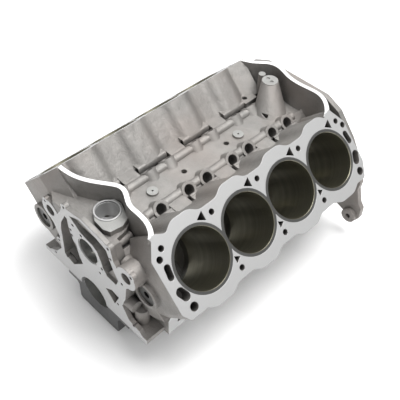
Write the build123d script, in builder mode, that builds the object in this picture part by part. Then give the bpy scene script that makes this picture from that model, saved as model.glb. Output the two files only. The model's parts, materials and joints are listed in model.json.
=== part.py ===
from build123d import *
import os
from math import sqrt

# Bare V8 cylinder block in cast aluminium with iron liners and steel main caps, in millimetres.
# +Y runs rearwards along the crank axis, +X is the bank to the right seen from the front, +Z is up.
# The origin is on the crank axis, midway along the front main bearing.

# Layout of the engine
bore_spacing = 124.46
bore_diameter = 116.84
deck_height = 261.6
bank_offset = 25.4
bores_per_bank = 4
main_housing_diameter = 81.1
cam_height = 138.0
cam_housing_diameter = 58.4
front_face = -45.0
rear_face = 558.0

# Decks and banks
deck_inner = 77.5
deck_outer = 78.5
inner_bulge = 14.0
outer_bulge = 11.5
bulge_flat = 21.0
bulge_foot = 40.0
bulge_radius = 30.0
deck_front_end = 278.0
deck_back_end = 270.0
bank_depth = 84.0
outline_radius = 9.0
head_bolt_row = 60.4
head_bolt_diameter = 12.0
head_bolt_depth = 45.0
end_bolt_counterbore = 17.5
dowel_row = 45.2
dowel_diameter = 13.0
dowel_from_middle = 262.0
water_hole_depth = 30.0
inner_water_row = 63.5
inner_water_shift = 24.0
outer_water_row = 41.0
inner_water_size = 11.5
outer_water_size = 8.5

# Liners
liner_wall = 2.8
liner_length = 150.0
liner_flange_radius = 65.0
liner_flange_height = 5.0
liner_clearance = 0.05
liner_chamfer = 0.8

# Crankcase and webs
pan_rail_half = 162.0
pan_rail_height = 13.0
pan_bolt_row = 152.0
pan_bolts_per_side = 6
pan_bolt_diameter = 6.6
crankcase_wall = 124.0
bay_radius = 107.5
web_thickness = 30.0
valley_floor = 181.0
cam_tunnel_radius = 32.0
barrel_foot = 88.0

# Lifter rows
lifter_diameter = 23.2
lifter_pitch = 50.0
lifter_boss_radius = 18.0
lifter_top = 68.0
lifter_bottom = 28.0
bench_drop = 4.0
bench_inner = 104.0
bench_wall = 61.0
bench_outer = 79.0
ledge_half_length = 20.0
ledge_inner = 54.0
ledge_outer = 84.0
ledge_height = 185.0
foot_half_length = 38.0
foot_height = 190.0
gallery_radius = 10.0
gallery_x = 38.0
gallery_z = 181.0

# Valley rails
rail_top = 246.5
rail_width = 9.5
column_top = 236.0

# Front of the block
front_depth = 30.0
case_back_wall = 6.0
rim_thickness = 10.0
rim_pocket = 6.0
arm_thickness = 12.0
cover_boss_radius = 8.5
shelf_height = 200.0
water_port_x = 112.0
water_port_z = 163.0
water_port_diameter = 25.0
water_port_wall = 13.0
passage_y = -18.0
passage_radius = 18.0
low_boss_y = -30.0
low_boss_z = 66.0
low_boss_radius = 13.0
distributor_y = 9.0
distributor_height = 213.0
distributor_bore = 46.0
distributor_counterbore = 53.0
distributor_depth = 42.0

# Bell housing flange
flange_thickness = 13.0
ear_boss_radius = 18.0
ear_boss_depth = 22.0
flange_bolt_diameter = 12.0
rear_seal_diameter = 132.0
bell_dowel_diameter = 15.9
bell_dowel_length = 26.0
mount_pad_x = 175.0
mount_pad_y = 62.0

# Main caps and their bolts
cap_half_width = 97.0
cap_shoulder_height = 29.0
cap_column_half = 63.0
cap_height = 83.0
cap_thickness = 31.0
front_cap_recess = 7.0
rear_cap_recess = 16.0
cap_clearance = 0.05
cap_register = 2.0
inner_bolt_x = 51.5
outer_bolt_x = 82.0
inner_bolt_diameter = 12.7
outer_bolt_diameter = 11.1
inner_bolt_reach = 48.0
outer_bolt_reach = 28.0
cap_bolt_clearance = 0.25
bolt_hole_spare = 3.0
bolt_head_height = 12.0
inner_bolt_flats = 20.0
outer_bolt_flats = 17.0

# Cam bearings
cam_bearing_length = 21.0
cam_bearing_wall = 1.9
cam_bearing_clearance = 0.03

# Core plugs
front_plug_diameter = 46.0
front_plug_thickness = 9.0
front_plug_recess = 4.0
side_plug_diameter = 44.0
side_plug_drop = 39.6
plug_clearance = 0.05
side_plug_depth = 10.0
plug_boss_wall = 8.0
plug_socket_flats = 14.0
plug_cup_wall = 2.5
gallery_plug_diameter = 18.0
rear_plug_recess = 4.0
rear_plug_thickness = 7.0

half = sqrt(0.5)
sides = (1, -1)
side_names = {1: "right", -1: "left"}
main_count = bores_per_bank + 1
main_planes = [bore_spacing * k for k in range(main_count)]
block_middle = bore_spacing * bores_per_bank / 2
bank_middle = {side: block_middle + side * bank_offset / 2 for side in sides}
bank_front = {1: bank_middle[1] - deck_front_end, -1: bank_middle[-1] - deck_back_end}
corner_cut = {1: 24, -1: 6}
bank_back = {1: bank_middle[1] + deck_back_end, -1: bank_middle[-1] + deck_front_end}
bore_along = [bore_spacing * (k - (bores_per_bank - 1) / 2) for k in range(bores_per_bank)]
bolt_along = [bore_spacing * (k - bores_per_bank / 2) for k in range(bores_per_bank + 1)]
liner_radius = bore_diameter / 2 + liner_wall
web_front = front_face + front_depth
cap_stretches = [(plane - cap_thickness / 2, plane + cap_thickness / 2) for plane in main_planes]
cap_stretches[0] = (front_face + front_cap_recess, cap_stretches[0][1])
cap_stretches[-1] = (cap_stretches[-1][0], rear_face - rear_cap_recess)
lifter_row = cam_height * half
bench_distance = cam_height * half + lifter_top - bench_drop
jacket_bottom = deck_height - bank_depth
side_plug_distance = deck_height - side_plug_drop
cap_joint = cap_register - cap_clearance
lifter_along = [centre + shift for centre in bore_along for shift in (-lifter_pitch / 2, lifter_pitch / 2)]


def bank_plane(side, distance, along=0.0, inward=0.0):
    """Plane across a bank's bores: local X along the bank, local Y inwards to the valley."""
    middle = Vector(side * distance * half, bank_middle[side], distance * half)
    origin = middle + Vector(0, side, 0) * along + Vector(-side, 0, 1) * half * inward
    return Plane(origin=origin, x_dir=(0, side, 0), z_dir=(side, 0, 1))


def front_plane(offset=0.0):
    """Plane across the crank axis, seen from the front: local X to the right, local Y up."""
    return Plane(origin=(0, front_face + offset, 0), x_dir=(1, 0, 0), z_dir=(0, -1, 0))


def bank_outline(side):
    """The deck's outline, with a bulge beside each bore on both edges."""
    inner = []
    outer = []
    for centre in bore_along:
        inner += [(centre - bulge_foot, deck_inner), (centre - bulge_flat, deck_inner + inner_bulge)]
        inner += [(centre + bulge_flat, deck_inner + inner_bulge), (centre + bulge_foot, deck_inner)]
    for centre in reversed(bore_along):
        outer += [(centre + bulge_foot, -deck_outer), (centre + bulge_flat, -deck_outer - outer_bulge)]
        outer += [(centre - bulge_flat, -deck_outer - outer_bulge), (centre - bulge_foot, -deck_outer)]
    front_corner = [(-deck_front_end, 50), (-deck_front_end + corner_cut[side], deck_inner + 11),
                    (-deck_front_end + corner_cut[side] + 8, deck_inner + 10)]
    back_corner = [(deck_back_end - 32, deck_inner + 10), (deck_back_end - 24, deck_inner + 11),
                   (deck_back_end, 50), (deck_back_end, -46)]
    return front_corner + inner + back_corner + [(deck_back_end - 16, -deck_outer)] + outer + [
        (-deck_front_end + 12, -deck_outer), (-deck_front_end, -60)]


def half_section(side):
    """Half of the section below the banks: valley floor, lifter bench, jacket bottom and crankcase."""
    def at(distance, inward):
        return ((distance - inward) * half, (distance + inward) * half)

    bench = at(bench_distance, bench_inner)
    points = [(0, valley_floor), (bench[0], valley_floor), bench]
    points += [(bench_wall, bench_distance / half - bench_wall), (bench_wall, bench_wall + bench_outer / half)]
    points += [at(jacket_bottom, bench_outer), at(jacket_bottom, -deck_outer), (152, 52)]
    points += [(crankcase_wall, 42), (crankcase_wall, pan_rail_height), (pan_rail_half, pan_rail_height)]
    points += [(pan_rail_half, 0), (0, 0)]
    return [(side * x, z) for x, z in points]


# Outlines on the front face, left to right and up
front_outline = [(-162, 0), (162, 0), (140, 22), (111, 28), (93, 60), (105, 90), (110, 130), (125, 147),
                 (125, 170), (97, 174), (90, 166), (79, 182), (73, 211), (46, 217), (19, 221), (-9, 223),
                 (-40, 217), (-66, 213), (-76, 190), (-90, 170), (-125, 170), (-125, 147), (-108, 130),
                 (-95, 100), (-97, 60), (-117, 33), (-138, 20)]
case_body = [(-96, 48), (96, 62), (104, 92), (108, 130), (100, 150), (82, 160), (73, 181), (64, 200),
             (-62, 200), (-72, 182), (-92, 158), (-95, 100)]
left_cavity = [(-79, 156), (-62, 188), (-55, 185), (-55, 168), (-52, 150), (-46, 131), (-38, 123),
               (-33, 96), (-24, 76), (-59, 42), (-71, 47), (-87, 53), (-85, 96), (-84, 134)]
right_cavity = [(-32, 193), (62, 193), (69, 172), (76, 154), (52, 118), (44, 129), (40, 144),
                (31, 166), (18, 174), (-2, 176), (-19, 181)]
rim_cavity = [(-46, 201), (-17, 215), (3, 213), (31, 207), (53, 200), (61, 196), (62, 192), (-32, 192)]
web_notch = [(76, 154), (88, 132), (80, 112), (54, 114), (52, 118)]
arm_window = [(46, 67), (65, 80), (85, 75), (70, 40)]
front_shelf = [(-100, -44), (56, -44), (56, -20), (50, 12), (40, 30), (10, 42),
               (-20, 36), (-60, 10), (-112, 0), (-122, -30)]
distributor_pad = [(3, 40), (-13, 37), (-24, 19), (-25, 2), (-12, -14), (4, -24), (30, -26), (44, -20),
                   (48, 6), (40, 25)]
front_rail_path = [(-126, -3), (-104, -2), (-80, 3), (-46, 20), (-22, 37), (-4, 46),
                   (12, 44), (27, 36), (42, 29), (66, 27), (92, 24), (110, 17), (122, 8), (127, 2)]
rear_rail_path = [(-130, 502), (-123, 505), (-98, 519), (-72, 542), (-49, 547), (-14, 537), (14, 533), (43, 535),
                  (76, 536), (110, 516), (130, 488)]
front_plug_centres = {1: (138, -24.5, 117), -1: (-151, -42.5, 108)}
cover_holes = [(66, 206), (-61, 212), (98, 133), (-100, 83), (126, 179), (-126, 179), (71, 181),
               (80, 49), (-80, 49), (32, 102), (124, 22), (-124, 22)]
cam_plate_holes = [(-16, 170.5), (40, 122), (-39, 181), (-49, 160), (-47, 145)]
bell_outline = [(0, 240), (85, 240), (125, 222), (170, 172), (205, 118), (222, 72), (220, 52), (232, 14),
                (242, 2), (243, -26), (234, -43), (206, -43), (203, -33), (168, -20), (122, 0), (0, 0)]
mount_pad = [(-62, 0), (62, 0), (62, 46), (44, 72), (-44, 72), (-62, 46)]
mount_holes = [(-34, 24), (34, 24), (0, 52)]
bell_bolts = [(219, -30), (205, 96), (126, 196)]
bell_dowels = [(196, 44)]

with BuildPart() as block:
    # Two banks below their decks
    for side in sides:
        with BuildSketch(bank_plane(side, deck_height)) as outline:
            with BuildLine():
                Polyline(*bank_outline(side), close=True)
            make_face()
            fillet(outline.vertices().filter_by(lambda corner: abs(corner.X) < 220), bulge_radius)
            corners = outline.vertices().filter_by(lambda corner: abs(corner.X) > 220)
            fillet(corners.filter_by(lambda corner: corner.Y < deck_inner + 1), outline_radius)
        extrude(amount=-bank_depth)
    # Crankcase, jacket bottoms, valley floor and lifter benches
    for side in sides:
        with BuildSketch(front_plane(bank_front[side] - front_face)):
            with BuildLine():
                Polyline(*half_section(side), close=True)
            make_face()
        extrude(amount=bank_front[side] - bank_back[side])
    with BuildSketch(front_plane(front_depth)):
        with BuildLine():
            Polyline((-crankcase_wall, 0), (crankcase_wall, 0), (crankcase_wall, 60), (40, valley_floor),
                     (-40, valley_floor), (-crankcase_wall, 60), close=True)
        make_face()
    extrude(amount=web_front - rear_face)
    with BuildSketch(front_plane()):
        with Locations((0, pan_rail_height / 2)):
            Rectangle(2 * pan_rail_half, pan_rail_height)
    extrude(amount=front_face - rear_face + flange_thickness)
    # Ledges for the inner head bolts, and the feet of the bulges between them
    for side in sides:
        with BuildSketch(Plane.XY.offset(valley_floor - 30)):
            with Locations(*[(side * (ledge_inner + ledge_outer) / 2, bank_middle[side] + along)
                             for along in bolt_along[1:-1]]):
                Rectangle(ledge_outer - ledge_inner, 2 * ledge_half_length)
        extrude(amount=ledge_height - valley_floor + 30)
        with BuildSketch(Plane.XY.offset(valley_floor - 30)):
            with Locations(*[(side * (bench_wall + ledge_outer) / 2, bank_middle[side] + along)
                             for along in bore_along]):
                Rectangle(ledge_outer - bench_wall, 2 * foot_half_length)
        extrude(amount=foot_height - valley_floor + 30)
    # Lifter bosses and the oil galleries that join them
    for side in sides:
        with BuildSketch(bank_plane(side, lifter_row + lifter_top)):
            with Locations(*[(along, lifter_row) for along in lifter_along]):
                Circle(lifter_boss_radius)
        extrude(amount=lifter_bottom - lifter_top)
        with BuildSketch(front_plane(bank_front[side] - front_face + 40)):
            with Locations((side * gallery_x, gallery_z)):
                Circle(gallery_radius)
        extrude(amount=bank_front[side] - bank_back[side] + 70)
    # Front wall: chain case with its rim, water ports and arms down to the pan rail
    with BuildSketch(front_plane()):
        with BuildLine():
            Polyline(*case_body, close=True)
        make_face()
        with Locations((water_port_x, water_port_z), (-water_port_x, water_port_z)):
            Circle(water_port_diameter / 2 + water_port_wall)
    extrude(amount=-front_depth)
    with BuildSketch(front_plane()):
        with BuildLine():
            Polyline(*front_outline, close=True)
        make_face()
        with Locations(*cover_holes[:7]):
            Circle(cover_boss_radius)
    extrude(amount=-rim_thickness)
    # Coolant passages from the ports into the banks, and a rib behind the chain case
    for side in sides:
        with BuildSketch(Plane(origin=(side * (water_port_x - 30), passage_y, water_port_z - 4),
                               x_dir=(0, 0, 1), z_dir=(side, 0, 0))):
            Circle(passage_radius)
        extrude(amount=52)
        with BuildSketch(Plane(origin=(side * (crankcase_wall - 44), low_boss_y, low_boss_z),
                               x_dir=(0, 0, 1), z_dir=(side, 0, 0))):
            Circle(low_boss_radius)
        extrude(amount=39)
        with BuildSketch(Plane.XY.offset(pan_rail_height)):
            with Locations((side * (crankcase_wall - 4), low_boss_y + 12)):
                Circle(low_boss_radius + 2)
        extrude(amount=42)
    with BuildSketch(front_plane(rim_thickness / 2)):
        with Locations((50, 178)):
            Circle(10)
    extrude(amount=-60)
    # Shelf behind the chain case, with the distributor pad on it
    with BuildSketch(Plane.XY.offset(shelf_height - 60)):
        with BuildLine():
            Polyline(*front_shelf, close=True)
        make_face()
    extrude(amount=60)
    with BuildSketch(Plane.XY.offset(190)):
        with BuildLine():
            Polyline(*distributor_pad, close=True)
        make_face()
    extrude(amount=distributor_height - 190)
    # Valley walls with the rails for the inlet manifold
    with BuildSketch(Plane.XY.offset(valley_floor - 30)):
        with BuildLine():
            Spline(*front_rail_path)
        trace(line_width=rail_width)
        with BuildLine():
            Spline(*rear_rail_path)
        trace(line_width=rail_width)
    extrude(amount=rail_top - valley_floor + 30)
    # The decks are milled across the ends of the rails
    for side in sides:
        with BuildSketch(bank_plane(side, deck_height)):
            with Locations((0, 10)):
                Rectangle(2 * deck_front_end + 20, 2 * (deck_inner + 20))
        extrude(amount=20, mode=Mode.SUBTRACT)
    # Bell housing flange
    with BuildSketch(front_plane(rear_face - front_face - flange_thickness)):
        with BuildLine():
            Polyline(*bell_outline, close=True)
        make_face()
        mirror(about=Plane.YZ)
    extrude(amount=-flange_thickness)
    with BuildSketch(front_plane(rear_face - front_face)):
        with Locations(*[(side * bell_bolts[0][0], bell_bolts[0][1]) for side in sides]):
            Circle(ear_boss_radius)
    extrude(amount=ear_boss_depth)
    # Tapered column for the oil pressure fitting at the back of the valley
    with BuildSketch(Plane.XY.offset(valley_floor - 6)):
        with Locations((-6, 480)):
            Circle(38)
    with BuildSketch(Plane.XY.offset(column_top)):
        with Locations((-36, 504)):
            Circle(19)
    loft()
    with BuildSketch(Plane.XY.offset(valley_floor - 30)):
        with Locations((-64, 509)):
            Circle(8)
    extrude(amount=column_top - valley_floor + 32)
    # Bosses round the front and side core plugs
    for side in sides:
        x, y, z = front_plug_centres[side]
        with BuildSketch(front_plane(y - front_face)):
            with Locations((x, z)):
                Circle(front_plug_diameter / 2 + plug_boss_wall)
        extrude(amount=-24)
        with BuildSketch(Plane(origin=(0, bank_middle[side], 0), x_dir=(0, 1, 0), z_dir=(side, 0, -1))
                         .offset(deck_outer + 5)) as side_bosses:
            with Locations(*[(along, side * side_plug_distance) for along in bolt_along[1:-1]]):
                Circle(side_plug_diameter / 2 + 6)
        extrude(amount=-8)

    # Engine mount pads on the sides, with their tapped holes
    for side in sides:
        with BuildSketch(Plane(origin=(side * mount_pad_x, mount_pad_y, 0), x_dir=(0, side, 0), z_dir=(side, 0, 0))):
            with BuildLine():
                Polyline(*mount_pad, close=True)
            make_face()
        extrude(amount=crankcase_wall - mount_pad_x - 4)
        with BuildSketch(Plane(origin=(side * mount_pad_x, mount_pad_y, 0), x_dir=(0, side, 0), z_dir=(side, 0, 0))):
            with Locations(*mount_holes):
                Circle(4.5)
        extrude(amount=-16, mode=Mode.SUBTRACT)

    # Chain case cavities round the cam and main bosses, and the windows beside the arms
    with BuildSketch(front_plane()):
        for outline in (left_cavity, right_cavity, arm_window):
            with BuildLine():
                Polyline(*outline, close=True)
            make_face()
    extrude(amount=case_back_wall - front_depth, mode=Mode.SUBTRACT)
    with BuildSketch(front_plane()):
        for outline in (rim_cavity, web_notch):
            with BuildLine():
                Polyline(*outline, close=True)
            make_face()
    extrude(amount=-rim_pocket, mode=Mode.SUBTRACT)
    # Crank bays between the webs, joined to the cam tunnel
    for rear, front in zip(main_planes[:-1], main_planes[1:]):
        with BuildSketch(front_plane(rear + web_thickness / 2 - front_face)):
            Circle(bay_radius)
            with Locations((0, cam_height)):
                Circle(cam_tunnel_radius)
        extrude(amount=rear - front + web_thickness, mode=Mode.SUBTRACT)
    # Main and cam bearing housings
    with BuildSketch(front_plane()):
        Circle(main_housing_diameter / 2)
        with Locations((0, cam_height)):
            Circle(cam_housing_diameter / 2)
    extrude(amount=front_face - rear_face, mode=Mode.SUBTRACT)
    with BuildSketch(front_plane(rear_face - front_face)):
        Circle(rear_seal_diameter / 2)
    extrude(amount=rear_cap_recess, mode=Mode.SUBTRACT)
    # Bores for the liners
    for side in sides:
        with BuildSketch(bank_plane(side, deck_height)):
            with Locations(*[(along, 0) for along in bore_along]):
                Circle(liner_radius + liner_clearance)
        extrude(amount=barrel_foot - deck_height, mode=Mode.SUBTRACT)
        with BuildSketch(bank_plane(side, deck_height)):
            with Locations(*[(along, 0) for along in bore_along]):
                Circle(liner_flange_radius + liner_clearance)
        extrude(amount=-liner_flange_height, mode=Mode.SUBTRACT)
    # Holes in the decks
    for side in sides:
        with BuildSketch(bank_plane(side, deck_height)):
            with Locations(*[(along, row) for along in bolt_along for row in (head_bolt_row, -head_bolt_row)]):
                Circle(head_bolt_diameter / 2)
        extrude(amount=-head_bolt_depth, mode=Mode.SUBTRACT)
        with BuildSketch(bank_plane(side, deck_height)) as water_holes:
            with Locations((bolt_along[0], -head_bolt_row), (bolt_along[-1], -head_bolt_row)):
                Circle(end_bolt_counterbore / 2)
            with Locations((-dowel_from_middle, dowel_row), (dowel_from_middle, dowel_row)):
                Circle(dowel_diameter / 2)
            for along in bolt_along[1:]:
                with Locations((along - inner_water_shift, inner_water_row)):
                    RegularPolygon(inner_water_size, 3, rotation=180)
            for along in bolt_along[1:-1]:
                with Locations((along, -outer_water_row)):
                    RegularPolygon(outer_water_size, 3)
            for end in (-1, 1):
                with Locations((end * 258.5, 17)):
                    SlotOverall(31, 13, rotation=90 + end * 8)
                with Locations((end * 255.5, -30)):
                    SlotOverall(31, 18, rotation=90 - end * 25)
        extrude(amount=-water_hole_depth, mode=Mode.SUBTRACT)
    # Lifter bores
    for side in sides:
        with BuildSketch(bank_plane(side, lifter_row + lifter_top)):
            with Locations(*[(along, lifter_row) for along in lifter_along]):
                Circle(lifter_diameter / 2)
        extrude(amount=lifter_bottom - lifter_top, mode=Mode.SUBTRACT)
    # Water ports, cover holes and cam plate holes in the front face
    with BuildSketch(front_plane()):
        with Locations((water_port_x, water_port_z), (-water_port_x, water_port_z)):
            Circle(water_port_diameter / 2)
    extrude(amount=-40, mode=Mode.SUBTRACT)
    with BuildSketch(front_plane()):
        with Locations(*cover_holes):
            Circle(3.2)
        with Locations(*cam_plate_holes):
            Circle(3.4)
    extrude(amount=-11, mode=Mode.SUBTRACT)
    # Distributor bore
    with BuildSketch(Plane.XY.offset(distributor_height)):
        with Locations((0, distributor_y)):
            Circle(distributor_bore / 2)
    extrude(amount=-distributor_depth, mode=Mode.SUBTRACT)
    with BuildSketch(Plane.XY.offset(distributor_height)):
        with Locations((0, distributor_y)):
            Circle(distributor_counterbore / 2)
    extrude(amount=-3, mode=Mode.SUBTRACT)
    with BuildSketch(Plane.XY.offset(distributor_height - distributor_depth)):
        with Locations((0, distributor_y)):
            Circle(14)
    extrude(amount=-12, mode=Mode.SUBTRACT)
    # Core plug seats
    for side in sides:
        x, y, z = front_plug_centres[side]
        with BuildSketch(front_plane(y - front_face)):
            with Locations((x, z)):
                Circle(front_plug_diameter / 2 + plug_clearance)
        extrude(amount=-front_plug_recess - front_plug_thickness, mode=Mode.SUBTRACT)
        with BuildSketch(Plane(origin=(0, bank_middle[side], 0), x_dir=(0, 1, 0), z_dir=(side, 0, -1))
                         .offset(deck_outer + 5)):
            with Locations(*[(along, side * side_plug_distance) for along in bolt_along[1:-1]]):
                Circle(side_plug_diameter / 2 + plug_clearance)
        extrude(amount=-10, mode=Mode.SUBTRACT)
    # Bolt holes in the bell housing flange, the pan rail and the main webs
    with BuildSketch(front_plane(rear_face - front_face)):
        with Locations(*[(side * x, z) for side in sides for x, z in bell_bolts]):
            Circle(flange_bolt_diameter / 2)
    extrude(amount=ear_boss_depth, mode=Mode.SUBTRACT)
    with BuildSketch(Plane.XY):
        for side in sides:
            with Locations((side * pan_bolt_row, (front_face + rear_face) / 2)):
                with GridLocations(1, (rear_face - front_face - 60) / (pan_bolts_per_side - 1), 1,
                                   pan_bolts_per_side):
                    Circle(pan_bolt_diameter / 2)
    extrude(amount=pan_rail_height - 2, mode=Mode.SUBTRACT)
    with BuildSketch(Plane.XY):
        with Locations(*[(side * inner_bolt_x, plane) for side in sides for plane in main_planes]):
            Circle(inner_bolt_diameter / 2 + cap_bolt_clearance)
    extrude(amount=inner_bolt_reach + bolt_hole_spare, mode=Mode.SUBTRACT)
    with BuildSketch(Plane.XY):
        with Locations(*[(side * outer_bolt_x, plane) for side in sides for plane in main_planes]):
            Circle(outer_bolt_diameter / 2 + cap_bolt_clearance)
    extrude(amount=outer_bolt_reach + bolt_hole_spare, mode=Mode.SUBTRACT)
    with BuildSketch(Plane.XY):
        for front, rear in cap_stretches:
            with Locations((0, (front + rear) / 2)):
                Rectangle(2 * (cap_half_width + cap_clearance), rear - front + 2 * cap_clearance)
    extrude(amount=cap_register, mode=Mode.SUBTRACT)
    # Seats for the gallery plugs and the bell housing dowels
    with BuildSketch(front_plane(rear_face - front_face)):
        with Locations((gallery_x, gallery_z), (-gallery_x, gallery_z)):
            Circle(gallery_plug_diameter / 2 + plug_clearance)
        with Locations(*[(side * x, z) for side in sides for x, z in bell_dowels]):
            Circle(bell_dowel_diameter / 2 + plug_clearance)
    extrude(amount=flange_thickness, mode=Mode.SUBTRACT)
    # Floor pads and tapped holes in the valley
    with BuildSketch(Plane.XY.offset(valley_floor - 1)):
        with Locations((0, 120), (0, 367)):
            Circle(12)
    extrude(amount=6)
    with BuildSketch(Plane.XY.offset(valley_floor + 5)):
        with Locations((0, 120), (0, 367)):
            Circle(2)
    extrude(amount=-11, mode=Mode.SUBTRACT)
    with BuildSketch(Plane.XY.offset(valley_floor - 10)):
        with Locations((-70, 469)):
            Rectangle(32, 38)
    extrude(amount=foot_height - valley_floor + 10)
    with BuildSketch(Plane.XY.offset(foot_height)):
        with Locations((0, 206), (0, 330), (63, 490), (-70, 463)):
            Circle(6)
        with Locations((-1, 455)):
            SlotOverall(16, 7)
    extrude(amount=-36, mode=Mode.SUBTRACT)

pieces = {"block_casting": block}

# Iron liners: the flange is cut flat where two liners meet
for side in sides:
    for number, along in enumerate(bore_along):
        reach = [liner_flange_radius, liner_flange_radius]
        if number > 0:
            reach[0] = bore_spacing / 2 - liner_clearance
        if number < bores_per_bank - 1:
            reach[1] = bore_spacing / 2 - liner_clearance
        with BuildPart() as liner:
            with BuildSketch(bank_plane(side, deck_height, along)):
                Circle(liner_radius)
            extrude(amount=-liner_length)
            with BuildSketch(bank_plane(side, deck_height, along)):
                Circle(liner_flange_radius)
                with Locations(((reach[1] - reach[0]) / 2, 0)):
                    Rectangle(reach[0] + reach[1], 2 * liner_flange_radius, mode=Mode.INTERSECT)
            extrude(amount=-liner_flange_height)
            with BuildSketch(bank_plane(side, deck_height, along)):
                Circle(bore_diameter / 2)
            extrude(amount=-liner_length, mode=Mode.SUBTRACT)
            chamfer(liner.edges().filter_by(GeomType.CIRCLE).sort_by(Axis((0, 0, 0), (side, 0, 1)))
                    .filter_by(lambda edge: abs(edge.radius - bore_diameter / 2) < 0.01)[-1], liner_chamfer)
        order = number if side == 1 else bores_per_bank - 1 - number
        pieces[f"{side_names[side]}_liner_{order + 1}"] = liner

# Main caps and the two groups of bolts that hold them
for number, (front, rear) in enumerate(cap_stretches):
    with BuildPart() as cap:
        with BuildSketch(front_plane(front - front_face)):
            with BuildLine():
                Polyline((0, cap_joint), (cap_half_width, cap_joint),
                         (cap_half_width, -cap_shoulder_height), (cap_column_half + 8, -cap_shoulder_height),
                         (cap_column_half, -cap_shoulder_height - 8), (cap_column_half, -cap_height + 5),
                         (cap_column_half - 5, -cap_height), (0, -cap_height), close=True)
            make_face()
            mirror(about=Plane.YZ)
            Circle(main_housing_diameter / 2, mode=Mode.SUBTRACT)
        extrude(amount=front - rear)
        with BuildSketch(Plane.XY.offset(-cap_height)):
            with Locations(*[(side * inner_bolt_x, main_planes[number]) for side in sides]):
                Circle(inner_bolt_diameter / 2 + cap_bolt_clearance)
            with Locations(*[(side * outer_bolt_x, main_planes[number]) for side in sides]):
                Circle(outer_bolt_diameter / 2 + cap_bolt_clearance)
        extrude(amount=cap_height + cap_register, mode=Mode.SUBTRACT)
    pieces[f"main_cap_{number + 1}"] = cap

with BuildPart() as inner_bolts:
    with BuildSketch(Plane.XY.offset(-cap_height - cap_clearance)):
        with Locations(*[(side * inner_bolt_x, plane) for side in sides for plane in main_planes]):
            RegularPolygon(inner_bolt_flats / 2, 6, major_radius=False)
    extrude(amount=-bolt_head_height)
    with BuildSketch(Plane.XY.offset(-cap_height - cap_clearance)):
        with Locations(*[(side * inner_bolt_x, plane) for side in sides for plane in main_planes]):
            Circle(inner_bolt_diameter / 2)
    extrude(amount=cap_height + inner_bolt_reach)
pieces["inner_cap_bolts"] = inner_bolts

with BuildPart() as outer_bolts:
    with BuildSketch(Plane.XY.offset(-cap_shoulder_height - cap_clearance)):
        with Locations(*[(side * outer_bolt_x, plane) for side in sides for plane in main_planes]):
            RegularPolygon(outer_bolt_flats / 2, 6, major_radius=False)
    extrude(amount=-bolt_head_height)
    with BuildSketch(Plane.XY.offset(-cap_shoulder_height - cap_clearance)):
        with Locations(*[(side * outer_bolt_x, plane) for side in sides for plane in main_planes]):
            Circle(outer_bolt_diameter / 2)
    extrude(amount=cap_shoulder_height + outer_bolt_reach)
pieces["outer_cap_bolts"] = outer_bolts

# Cam bearings, pressed into the webs, and the plug behind the last one
bearing_centres = [front_face + 2 + cam_bearing_length / 2] + main_planes[1:]
for number, centre in enumerate(bearing_centres):
    with BuildPart() as bearing:
        with BuildSketch(front_plane(centre - cam_bearing_length / 2 - front_face)):
            with Locations((0, cam_height)):
                Circle(cam_housing_diameter / 2 - cam_bearing_clearance)
                Circle(cam_housing_diameter / 2 - cam_bearing_wall, mode=Mode.SUBTRACT)
        extrude(amount=-cam_bearing_length)
    pieces[f"cam_bearing_{number + 1}"] = bearing

with BuildPart() as cam_plug:
    with BuildSketch(front_plane(rear_face - front_face - rear_plug_recess)):
        with Locations((0, cam_height)):
            Circle(cam_housing_diameter / 2 - plug_clearance)
    extrude(amount=rear_plug_thickness)
    with BuildSketch(front_plane(rear_face - front_face - rear_plug_recess)):
        with Locations((0, cam_height)):
            Circle(cam_housing_diameter / 2 - plug_clearance - plug_cup_wall)
    extrude(amount=rear_plug_thickness - plug_cup_wall, mode=Mode.SUBTRACT)
pieces["rear_cam_plug"] = cam_plug

with BuildPart() as gallery_plugs:
    with BuildSketch(front_plane(rear_face - front_face - 1)):
        with Locations((gallery_x, gallery_z), (-gallery_x, gallery_z)):
            Circle(gallery_plug_diameter / 2)
            RegularPolygon(plug_socket_flats / 3, 6, major_radius=False, mode=Mode.SUBTRACT)
    extrude(amount=flange_thickness - 1)
pieces["gallery_plugs"] = gallery_plugs

# Screwed core plugs at the front and cup plugs along the sides
for side in sides:
    x, y, z = front_plug_centres[side]
    with BuildPart() as front_plug:
        with BuildSketch(front_plane(y + front_plug_recess - front_face)):
            with Locations((x, z)):
                Circle(front_plug_diameter / 2)
        extrude(amount=-front_plug_thickness)
        with BuildSketch(front_plane(y + front_plug_recess - front_face)):
            with Locations((x, z)):
                RegularPolygon(plug_socket_flats / 2, 6, major_radius=False)
        extrude(amount=-front_plug_thickness / 2, mode=Mode.SUBTRACT)
    pieces[f"{side_names[side]}_front_core_plug"] = front_plug

    with BuildPart() as side_plugs:
        with BuildSketch(Plane(origin=(0, bank_middle[side], 0), x_dir=(0, 1, 0), z_dir=(side, 0, -1))
                         .offset(deck_outer + 4)):
            with Locations(*[(along, side * side_plug_distance) for along in bolt_along[1:-1]]):
                Circle(side_plug_diameter / 2)
        extrude(amount=-side_plug_depth + 1)
        with BuildSketch(Plane(origin=(0, bank_middle[side], 0), x_dir=(0, 1, 0), z_dir=(side, 0, -1))
                         .offset(deck_outer + 4)):
            with Locations(*[(along, side * side_plug_distance) for along in bolt_along[1:-1]]):
                Circle(side_plug_diameter / 2 - plug_cup_wall)
        extrude(amount=-side_plug_depth + 1 + plug_cup_wall, mode=Mode.SUBTRACT)
    pieces[f"{side_names[side]}_side_core_plugs"] = side_plugs

# Dowels for the bell housing
with BuildPart() as dowels:
    with BuildSketch(front_plane(rear_face - front_face - flange_thickness)):
        with Locations(*[(side * x, z) for side in sides for x, z in bell_dowels]):
            Circle(bell_dowel_diameter / 2)
    extrude(amount=-bell_dowel_length)
pieces["bell_dowels"] = dowels

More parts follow.
